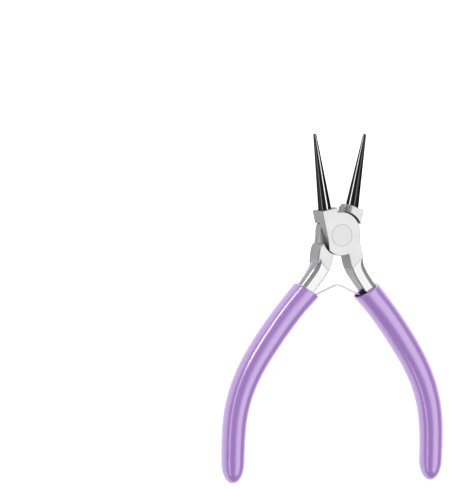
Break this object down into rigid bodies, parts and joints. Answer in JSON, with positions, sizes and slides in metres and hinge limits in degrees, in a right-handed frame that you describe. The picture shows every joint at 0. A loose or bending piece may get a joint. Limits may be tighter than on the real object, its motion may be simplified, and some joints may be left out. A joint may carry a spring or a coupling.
{
  "type": "round nose pliers",
  "caption": "Round nose pliers: two lapped steel levers on a flush rivet, black cone jaws, a leaf return spring and lavender sleeve grips, sprung open.",
  "frame": {"origin": "on the pivot axis at the head's back face", "axes": "+Y towards the jaw tips, +Z out of the head's front face, +X to the right seen from the front; levers at rest are sprung open"},
  "size_m": [0.083, 0.1199, 0.0097],
  "materials": {
    "satin_steel": "ground satin nickel on the head, polished on the tangs",
    "rivet_steel": "ground flush with the head",
    "black_finish": "gloss black",
    "spring_steel": "bright strip",
    "grip_vinyl": "gloss dipped vinyl, lavender"
  },
  "bodies": {
    "back_half": {"back_lever": "satin_steel", "right_jaw": "black_finish", "left_grip": "grip_vinyl", "pivot_rivet": "rivet_steel"},
    "front_half": {"front_lever": "satin_steel", "left_jaw": "black_finish", "right_grip": "grip_vinyl"},
    "spring_left": {"spring_left_arm": "spring_steel"},
    "spring_right": {"spring_right_arm": "spring_steel"}
  },
  "joints": [
    {"name": "plier_pivot", "type": "hinge", "parent": "back_half", "child": "front_half", "pos_m": [0, 0, 0], "axis": [0, 0, -1], "range_deg": [-2, 28], "stiffness_Nm_per_rad": 0.5, "deforming": ["spring_left_arm", "spring_right_arm"]},
    {"name": "spring_left_bend", "type": "hinge", "parent": "back_half", "child": "spring_left", "pos_m": [-0.00835, -0.0206, 0.00375], "axis": [0, 0, 1], "range_deg": [-3, 35]},
    {"name": "spring_right_bend", "type": "hinge", "parent": "front_half", "child": "spring_right", "pos_m": [0.00835, -0.0206, 0.00375], "axis": [0, 0, -1], "range_deg": [-3, 35]}
  ],
  "couplings": [
    {"joint": "spring_left_bend", "follows": "plier_pivot", "ratio": 1.19},
    {"joint": "spring_right_bend", "follows": "plier_pivot", "ratio": 1.19}
  ]
}
